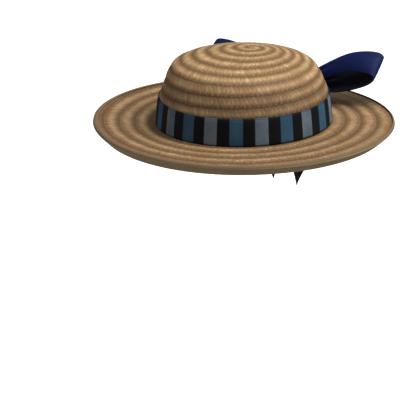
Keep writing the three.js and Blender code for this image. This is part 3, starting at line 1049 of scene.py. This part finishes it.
def pleated(across, centre, along, side, width, folds, cup, lift):
    """Points of a ribbon gathered into folds where it is narrower than its flat width."""
    side = side / np.linalg.norm(side, axis=1)[:, None]
    face = np.cross(along, side)
    face /= np.linalg.norm(face, axis=1)[:, None]
    arch = 1 + 8 / 3 * (cup / width) ** 2
    fullness = np.clip(RIBBON_WIDTH / (width * arch), 1, MOST_FULLNESS)
    depth = width / (TAU * folds) * np.sqrt(2 * (fullness**2 - 1))
    wave = depth * np.sin(TAU * folds * across + FOLD_START) * FOLD_DEPTH
    proud = wave + lift + cup * (1 - (2 * across) ** 2)
    return centre + side * (across * width)[:, None] + face * proud[:, None]


def clear_of_band(co):
    """Points of a bow loop, with those that would touch the striped band moved back from its face."""
    radius = band_radius(np.clip(co[:, 2], 0, BAND_HEIGHT))
    face = lengthen(radius) * np.sqrt(np.maximum(1 - (co[:, 0] / radius) ** 2, 0))
    short = face + LOOP_TO_BAND - co[:, 1]
    co[:, 1] += (short + np.hypot(short, LOOP_EASE)) / 2
    return co


def make_loop(name, node, sign, reach, rise):
    """A bow loop that reaches out along X, on the side that sign gives, and rises from the knot's middle."""
    rows = []
    for out, up, tilt, wide, cup in LOOP_COURSE:
        lean = math.radians(tilt)
        rows.append((
            sign * reach * out,
            KNOT_BACK,
            KNOT_UP + rise * up,
            -math.cos(lean),
            -math.sin(lean),
            wide * RIBBON_WIDTH,
            -sign * cup * RIBBON_WIDTH,
        ))
    course = smooth_through(rows, COURSE_POINTS)
    length = float(np.sum(steps_of(course[:, :3])))

    def place_at(across, share):
        centre, along, rest = along_course(course, share)
        side = np.stack([np.zeros(len(share)), rest[:, 0], rest[:, 1]], axis=1)
        return clear_of_band(pleated(across, centre, along, side, rest[:, 2], LOOP_FOLDS, rest[:, 3], 0))

    piece = strip(name, LOOP_CELLS)
    bend_strip(piece, place_at, length)
    if sign < 0:
        piece.data.flip_normals()
    thicken(piece)
    put_on(piece, node, "ribbon", SATIN, REVERSE)


# Tails

TAPE_OUT = BRIM_EDGE + CLEARANCE + TAPE_THICKNESS
TAIL_HALF = RIBBON_THICKNESS / 2 + TAIL_SLACK


def edge_at(x):
    """The tape's outer line at an X on the back of the brim: its Y, its turn, and its tangent."""
    length = float(lengthen(TAPE_OUT))
    turn = math.acos(x / TAPE_OUT)
    tangent = Vector((TAPE_OUT * math.sin(turn), -length * math.cos(turn), 0)).normalized()
    return length * math.sin(turn), turn, tangent


def tail_course(root_side, swing, drop, lean):
    """A tail's course out of the knot, over the brim, round its edge and down, and the edge's tangent."""
    edge_y, edge_turn, tangent = edge_at(swing)
    outward = Vector((-tangent.y, tangent.x, 0))
    root_y = KNOT_BACK + KNOT_DEPTH / 2 + CLEARANCE + TAIL_HALF
    above = TAIL_CLEAR + TAPE_THICKNESS + 2 * CLEARANCE + TAIL_HALF
    hem = EDGE_TOP + float(brim_wave(TAPE_OUT, edge_turn))
    beyond = Vector((swing, edge_y, hem))
    bend = TAIL_BEND / 2 + TAIL_HALF
    aside, back, up, wide = TAIL_ROOT
    rows = [(root_side * aside, KNOT_BACK + back, KNOT_UP + up, wide * TAIL_WIDTH)]
    for over, lift, wide in TAIL_ON_BRIM:
        rows.append((
            root_side + (swing - root_side) * over,
            root_y + (edge_y - root_y) * over,
            hem * over + above + lift * KNOT_HEIGHT,
            wide * TAIL_WIDTH,
        ))
    for turn in TAIL_OVER_EDGE:
        at = beyond + outward * (bend - TAIL_BEND * (1 - math.cos(turn)))
        up = hem + above - TAIL_BEND + TAIL_HALF + TAIL_BEND * math.sin(turn)
        rows.append((at.x, at.y, up, TAIL_WIDTH))
    for down, sway, out in TAIL_HANGING:
        at = beyond + outward * (bend + out * TAIL_WIDTH) + tangent * sway * lean
        rows.append((at.x, at.y, hem - down * drop, TAIL_WIDTH))
    return smooth_through(rows, COURSE_POINTS), np.array(tangent)


def make_tail(name, node, root_side, swing, drop, lean):
    """A tail from X root_side at the knot to X swing at the edge, hanging by drop and swayed by lean."""
    course, tangent = tail_course(root_side, swing, drop, lean)
    length = float(np.sum(steps_of(course[:, :3])))

    def place_at(across, share):
        centre, along, rest = along_course(course, share)
        turn_in = np.minimum(1, 2 * share)[:, None]
        side = np.array([1.0, 0, 0]) * (1 - turn_in) + tangent * turn_in
        side = side - along * np.sum(along * side, axis=1)[:, None]
        cut = np.clip((1 - share) * length / TAIL_POINT, 0.02, 1)
        hanging = np.clip((share - TAIL_RIPPLE_FROM) * 4, 0, 1)
        lift = TAIL_RIPPLE * np.sin(TAU * (share * TAIL_RIPPLE_COUNT + across / 2)) * hanging
        return pleated(across * cut, centre, along, side, rest[:, 0], TAIL_FOLDS, 0, lift)

    piece = strip(name, TAIL_CELLS)
    bend_strip(piece, place_at, length)
    thicken(piece)
    put_on(piece, node, "ribbon", SATIN, REVERSE)


make_crown()
make_brim()
make_tape()
make_band()
make_knot()
make_loop("bow_loop_left_ribbon", "bow_loop_left", sign=1, reach=107.5, rise=34)
make_loop("bow_loop_right_ribbon", "bow_loop_right", sign=-1, reach=88, rise=27)
make_tail("tail_outer_ribbon", "tail_outer", root_side=-6.6, swing=-41.5, drop=112.5, lean=3.5)
make_tail("tail_inner_ribbon", "tail_inner", root_side=6.6, swing=-10, drop=117.5, lean=-3.5)


# Stage, lights and camera

FLOOR_HALF = 30
FLOOR_UP = -0.62
WORLD_STRENGTH = 0.2
SENSOR_WIDTH = 36

# Each light: its way right, up and back from the hat and its width, in metres, and its power in watts.
LIGHTS = [("key", 1.35, 2.2, 0.3, 2.2, 114), ("left", -2.0, 0.7, 0.1, 0.8, 7)]


def make_floor():
    """A floor that is pale to the camera, darker to the light it throws back, and clear from below."""
    bm = bmesh.new()
    bmesh.ops.create_grid(bm, x_segments=4, y_segments=4, size=FLOOR_HALF)
    floor = piece_from(bm, "floor")
    floor.data.transform(Matrix.Translation((0, 0, FLOOR_UP)))
    made, tree, shader = material("pale_floor")
    seen = add(tree, "ShaderNodeLightPath").outputs["Is Camera Ray"]
    pale = blend_colours(tree, seen, (0.3, 0.29, 0.28, 1), (0.95, 0.95, 0.95, 1))
    give(tree, shader.inputs, {"Base Color": pale, "Emission Strength": times(tree, seen, 0.85)})
    shader.inputs["Roughness"].default_value = 0.9
    shader.inputs["Emission Color"].default_value = (1, 1, 1, 1)
    clear = add(tree, "ShaderNodeBsdfTransparent").outputs[0]
    from_below = add(tree, "ShaderNodeNewGeometry").outputs["Backfacing"]
    either = add(tree, "ShaderNodeMixShader", {0: from_below, 1: shader.outputs[0], 2: clear})
    tree.links.new(either.outputs[0], tree.nodes["Material Output"].inputs["Surface"])
    floor.data.materials.append(made)


def view_axes():
    """The photograph's own directions: right, back towards the camera, and up."""
    azimuth, elevation = math.radians(VIEW_AZIMUTH), math.radians(VIEW_ELEVATION)
    right = Vector((math.cos(azimuth), math.sin(azimuth), 0))
    back = Vector((
        math.sin(azimuth) * math.cos(elevation),
        -math.cos(azimuth) * math.cos(elevation),
        math.sin(elevation),
    ))
    return right, back, back.cross(right)


def make_camera():
    right, back, up = view_axes()
    scale = MM_PER_PIXEL * MM
    across = (PICTURE_SIDE / 2 - HAT_AXIS_PIXEL[0]) * scale
    down = (PICTURE_SIDE / 2 - HAT_AXIS_PIXEL[1]) * scale
    target = Vector((0, 0, HAT_AXIS_UP * MM)) + right * across - up * down
    data = bpy.data.cameras.new("camera")
    data.sensor_width = SENSOR_WIDTH
    data.lens = SENSOR_WIDTH * VIEW_DISTANCE / scale / PICTURE_SIDE
    data.clip_end = 100
    camera = bpy.data.objects.new("camera", data)
    camera.rotation_mode = "QUATERNION"
    camera.location = target + back * VIEW_DISTANCE
    camera.rotation_quaternion = (-back).to_track_quat("-Z", "Y")
    bpy.context.scene.collection.objects.link(camera)
    bpy.context.scene.camera = camera


def area_light(name, right_way, up_way, back_way, size, power):
    """A round light that faces the hat."""
    right, back, _ = view_axes()
    data = bpy.data.lights.new(name, "AREA")
    data.shape = "DISK"
    data.size = size
    data.energy = power
    lamp = bpy.data.objects.new(name, data)
    lamp.location = right * right_way + Vector((0, 0, up_way)) + back * back_way
    lamp.rotation_mode = "QUATERNION"
    lamp.rotation_quaternion = (-lamp.location).to_track_quat("-Z", "Y")
    bpy.context.scene.collection.objects.link(lamp)


def make_light():
    world = bpy.data.worlds.new("studio")
    world.use_nodes = True
    background = world.node_tree.nodes["Background"]
    background.inputs["Color"].default_value = (1, 1, 1, 1)
    background.inputs["Strength"].default_value = WORLD_STRENGTH
    bpy.context.scene.world = world
    for light in LIGHTS:
        area_light(*light)
    bpy.context.scene.view_settings.view_transform = "Standard"


make_floor()
make_camera()
make_light()
